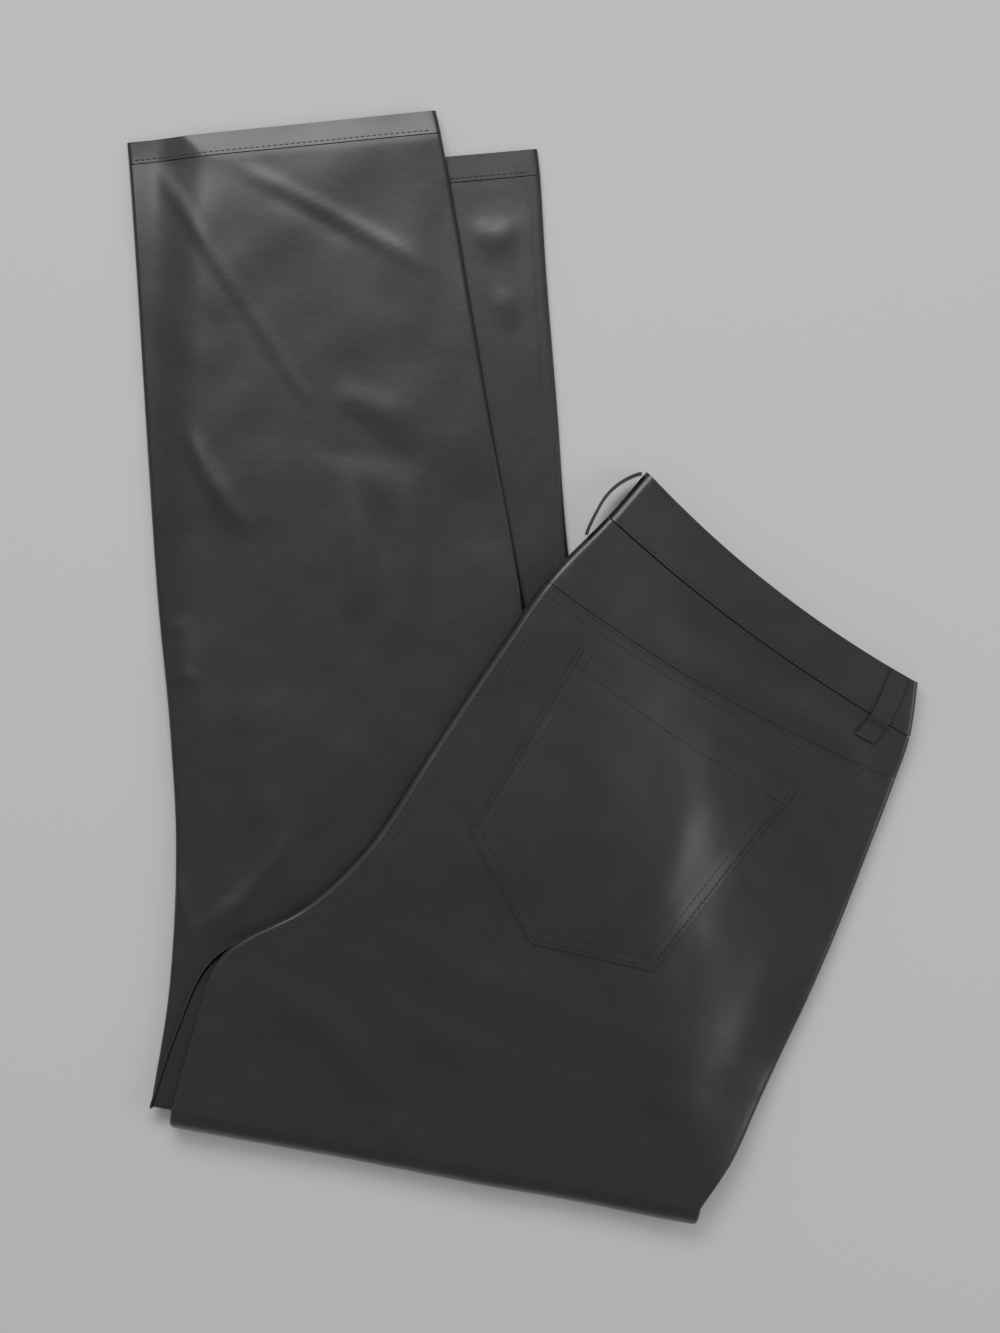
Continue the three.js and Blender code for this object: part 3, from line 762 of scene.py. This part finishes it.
def stitch_line(points, length=2.6, gap=0.9, radius=0.28):
    """Small rounded stitches along a line of points."""
    points = np.asarray(points, float)
    steps = np.linalg.norm(np.diff(points, axis=0), axis=1)
    along = np.concatenate([[0], np.cumsum(steps)])
    vertices, faces = [], []
    at = 0.0
    sides = 6
    while at + length < along[-1]:
        ends = [
            np.array([np.interp(at + d, along, points[:, k]) for k in range(3)])
            for d in (0, length * 0.25, length * 0.75, length)
        ]
        axis = ends[-1] - ends[0]
        axis /= np.linalg.norm(axis)
        side = np.cross(axis, [0, 0, 1.0])
        side /= np.linalg.norm(side)
        up = np.cross(side, axis)
        base = len(vertices)
        for end, share, dip in zip(ends, (0.35, 1, 1, 0.35), (-0.25, 0, 0, -0.25)):
            for k in range(sides):
                a = 2 * math.pi * k / sides
                spoke = side * math.cos(a) + up * math.sin(a)
                vertices.append(end + radius * share * spoke + up * dip)
        for ring in range(3):
            for k in range(sides):
                m = (k + 1) % sides
                r0, r1 = base + ring * sides, base + (ring + 1) * sides
                faces.append((r0 + k, r0 + m, r1 + m, r1 + k))
        faces.append(tuple(base + k for k in reversed(range(sides))))
        faces.append(tuple(base + 3 * sides + k for k in range(sides)))
        at += length + gap
    return vertices, faces


def stitches(name, lines):
    vertices, faces = [], []
    for line in lines:
        v, f = stitch_line(line)
        faces += [tuple(i + len(vertices) for i in face) for face in f]
        vertices += v
    return object_from(name, vertices, faces)


def seat_lines():
    down = [Section(SEAT, s) for s in np.linspace(YOKE, CENTRE_STITCHES_END, 90)]
    lines = [[seat_point(section, inset) for section in down] for inset in CENTRE_STITCHES]
    for below in YOKE_STITCHES:
        section = Section(SEAT, YOKE + below)
        lines.append([seat_point(section, d) for d in np.linspace(6, section.width - 4, 60)])
    return lines


def pocket_lines():
    level = PATCH_REST + SEAT_HEIGHT / 2 + PATCH_GAP + CLOTH + THREAD_LIFT

    def lying(path):
        plan = [pocket_plan(across, down) for across, down in path]
        return [(x, y, on_seat(x, y, level)) for x, y in plan]

    lines = []
    for inset in POCKET_STITCHES:
        a, d = 1 - inset / POCKET_HALF_WIDTH, 1 - inset / POCKET_DEPTH
        path = [(-a, t) for t in np.linspace(0.0, d, 40)]
        path += [(u, d) for u in np.linspace(-a, a, 50)]
        path += [(a, t) for t in np.linspace(d, 0.0, 40)]
        lines.append(lying(path))
    lines.append(lying([(across, MOUTH_STITCHES) for across in np.linspace(-0.97, 0.97, 60)]))
    return lines


def band_lines():
    lines = []
    for s in BAND_STITCHES:
        section = Section(SEAT, s)
        level = section.rest + BAND_HEIGHT / 2 + THREAD_LIFT
        plan = section.plan(np.linspace(6, section.width - 3, 60))
        lines.append([(x, y, on_seat(x, y, level)) for x, y in plan])
    return lines


def hem_lines(run, floor, bumps):
    section = Section(run, HEM_SEAM + HEM_STITCHES)
    p = section.plan(np.linspace(HEM_STITCHES_INSET, section.width - HEM_STITCHES_INSET, 60))
    x, y = p[:, 0], p[:, 1]
    z = above(floor, x, y, LEG_HEIGHT + THREAD_LIFT) + raised(bumps, x, y)
    return [np.column_stack([x, y, z])]


# ---- materials ----


def leather(name, base, roughness, grain):
    """Coated cloth: near black, glossy, finely grained and a little uneven."""
    material = bpy.data.materials.new(name)
    material.use_nodes = True
    nodes, links = material.node_tree.nodes, material.node_tree.links
    shader = nodes["Principled BSDF"]
    shader.inputs["Specular IOR Level"].default_value = 0.5
    shader.inputs["Coat Weight"].default_value = 0.35
    shader.inputs["Coat Roughness"].default_value = 0.22
    coords = nodes.new("ShaderNodeTexCoord")

    def noise_node(scale, detail):
        node = nodes.new("ShaderNodeTexNoise")
        node.inputs["Scale"].default_value = scale
        node.inputs["Detail"].default_value = detail
        links.new(coords.outputs["Object"], node.inputs["Vector"])
        return node

    tint = nodes.new("ShaderNodeMix")
    tint.data_type = "RGBA"
    tint.inputs["A"].default_value = (*base, 1)
    tint.inputs["B"].default_value = (base[0] * 1.5, base[1] * 1.45, base[2] * 1.4, 1)
    links.new(noise_node(14, 4).outputs["Fac"], tint.inputs["Factor"])
    links.new(tint.outputs["Result"], shader.inputs["Base Color"])

    rough = nodes.new("ShaderNodeMapRange")
    rough.inputs["To Min"].default_value = roughness - 0.07
    rough.inputs["To Max"].default_value = roughness + 0.09
    links.new(noise_node(40, 5).outputs["Fac"], rough.inputs["Value"])
    links.new(rough.outputs["Result"], shader.inputs["Roughness"])

    cells = nodes.new("ShaderNodeTexVoronoi")
    cells.feature = "DISTANCE_TO_EDGE"
    cells.inputs["Scale"].default_value = 1100
    links.new(coords.outputs["Object"], cells.inputs["Vector"])
    pebble = nodes.new("ShaderNodeBump")
    pebble.inputs["Strength"].default_value = grain
    pebble.inputs["Distance"].default_value = 0.00012
    links.new(cells.outputs["Distance"], pebble.inputs["Height"])
    soft = nodes.new("ShaderNodeBump")
    soft.inputs["Strength"].default_value = 0.25
    soft.inputs["Distance"].default_value = 0.0006
    links.new(noise_node(120, 3).outputs["Fac"], soft.inputs["Height"])
    links.new(pebble.outputs["Normal"], soft.inputs["Normal"])
    links.new(soft.outputs["Normal"], shader.inputs["Normal"])
    return material


def thread(name):
    material = bpy.data.materials.new(name)
    material.use_nodes = True
    nodes, links = material.node_tree.nodes, material.node_tree.links
    shader = nodes["Principled BSDF"]
    shader.inputs["Roughness"].default_value = 0.6
    wave = nodes.new("ShaderNodeTexNoise")
    wave.inputs["Scale"].default_value = 900
    tint = nodes.new("ShaderNodeMix")
    tint.data_type = "RGBA"
    tint.inputs["A"].default_value = (0.012, 0.012, 0.013, 1)
    tint.inputs["B"].default_value = (0.03, 0.03, 0.032, 1)
    links.new(wave.outputs["Fac"], tint.inputs["Factor"])
    links.new(tint.outputs["Result"], shader.inputs["Base Color"])
    return material


LEATHER = leather("coated_leather", (0.010, 0.0105, 0.0115), 0.40, 0.25)
TRIM = leather("coated_trim", (0.009, 0.0095, 0.0105), 0.42, 0.3)
THREAD = thread("stitch_thread")


def place(obj, node, material):
    """Puts a piece on the body, in the place of the node it shows."""
    obj.data.materials.append(material)
    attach(obj, "root")
    if node:
        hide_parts(node)
    return obj


def cloth(obj, node):
    return place(obj, node, LEATHER)


def trim(obj, node):
    return place(obj, node, TRIM)


def sewn(name, lines):
    return place(stitches(name, lines), None, THREAD)


def no_bumps(x, y):
    return np.zeros_like(x)


under, top = HALF, LEG_HEIGHT - HALF
strip = {"side_inset": SIDE_RETURN + FRONT_GAP}
back_r = cloth(right_back(), "right_back")
back_l = cloth(left_back(), "left_back")
front_r = cloth(
    leg_front("right_front_panel", RIGHT_LEG, ground, top, 1, strip_bumps, **strip), "right_front"
)
front_l = cloth(
    leg_front("left_front_panel", LEFT_LEG, left_leg_floor, under, -1, no_bumps), "left_front"
)
inner = cloth(hidden_layers(), "hidden_layers")
yoke_r = cloth(yoke("right_yoke_panel", SEAT, top_level, 1, seat_bumps), "right_yoke")
yoke_l = cloth(yoke("left_yoke_panel", LEFT_ROWS, under_level, -1, None), "left_yoke")
band = trim(waistband(), "waistband")
pocket_r = cloth(pocket("right_patch_pocket", 1), "right_pocket")
pocket_l = cloth(pocket("left_patch_pocket", -1), "left_pocket")
trim(centre_loop(), "centre_loop")
trim(side_loop("right_belt_loop", 1), "right_loop")
trim(side_loop("left_belt_loop", -1), "left_loop")
hem_l = cloth(hem("left_hem_band", LEFT_LEG, left_leg_floor, leg_bumps), "left_hem")
hem_r = cloth(hem("right_hem_band", RIGHT_LEG, ground, strip_bumps), "right_hem")

sewn_seat = sewn("seat_stitches", seat_lines())
sewn_pocket = sewn("pocket_stitches", pocket_lines())
sewn_band = sewn("band_stitches", band_lines())
sewn_left_hem = sewn("left_hem_stitches", hem_lines(LEFT_LEG, left_leg_floor, leg_bumps))
sewn_right_hem = sewn("right_hem_stitches", hem_lines(RIGHT_LEG, ground, strip_bumps))

# ---- floor, light and camera ----


def flat_material(name, colour, roughness):
    material = bpy.data.materials.new(name)
    material.use_nodes = True
    shader = material.node_tree.nodes["Principled BSDF"]
    shader.inputs["Base Color"].default_value = (*colour, 1)
    shader.inputs["Roughness"].default_value = roughness
    return material


def area_light(name, at, towards, size, power, colour=(1, 1, 1)):
    light = bpy.data.lights.new(name, "AREA")
    light.shape = "RECTANGLE"
    light.size, light.size_y = size
    light.energy = power
    light.color = colour
    obj = bpy.data.objects.new(name, light)
    obj.location = at
    obj.rotation_euler = (Vector(towards) - Vector(at)).to_track_quat("-Z", "Y").to_euler()
    bpy.context.collection.objects.link(obj)
    return obj


bpy.ops.mesh.primitive_plane_add(size=12, location=(0, 0, -0.0002))
floor = bpy.context.object
floor.name = "backdrop"
floor.data.materials.append(flat_material("backdrop_paper", (0.72, 0.72, 0.72), 0.9))

world = bpy.data.worlds.new("studio")
bpy.context.scene.world = world
world.use_nodes = True
world.node_tree.nodes["Background"].inputs["Color"].default_value = (0.85, 0.88, 0.92, 1)
world.node_tree.nodes["Background"].inputs["Strength"].default_value = 0.45

area_light("key", (-0.3, 1.2, 1.6), (0, 0, 0), (1.4, 0.9), 26)
area_light("fill", (1.5, -0.2, 1.3), (0, 0, 0), (0.8, 1.2), 8)

CAMERA_X = -12.9 * MM
VIEW_HEIGHT = 800 * MM
camera = bpy.data.cameras.new("camera")
camera.lens = 80
camera.sensor_width = 36
camera.sensor_fit = "AUTO"
eye = bpy.data.objects.new("camera", camera)
eye.location = (CAMERA_X, 0, VIEW_HEIGHT * camera.lens / camera.sensor_width)
bpy.context.collection.objects.link(eye)
bpy.context.scene.camera = eye
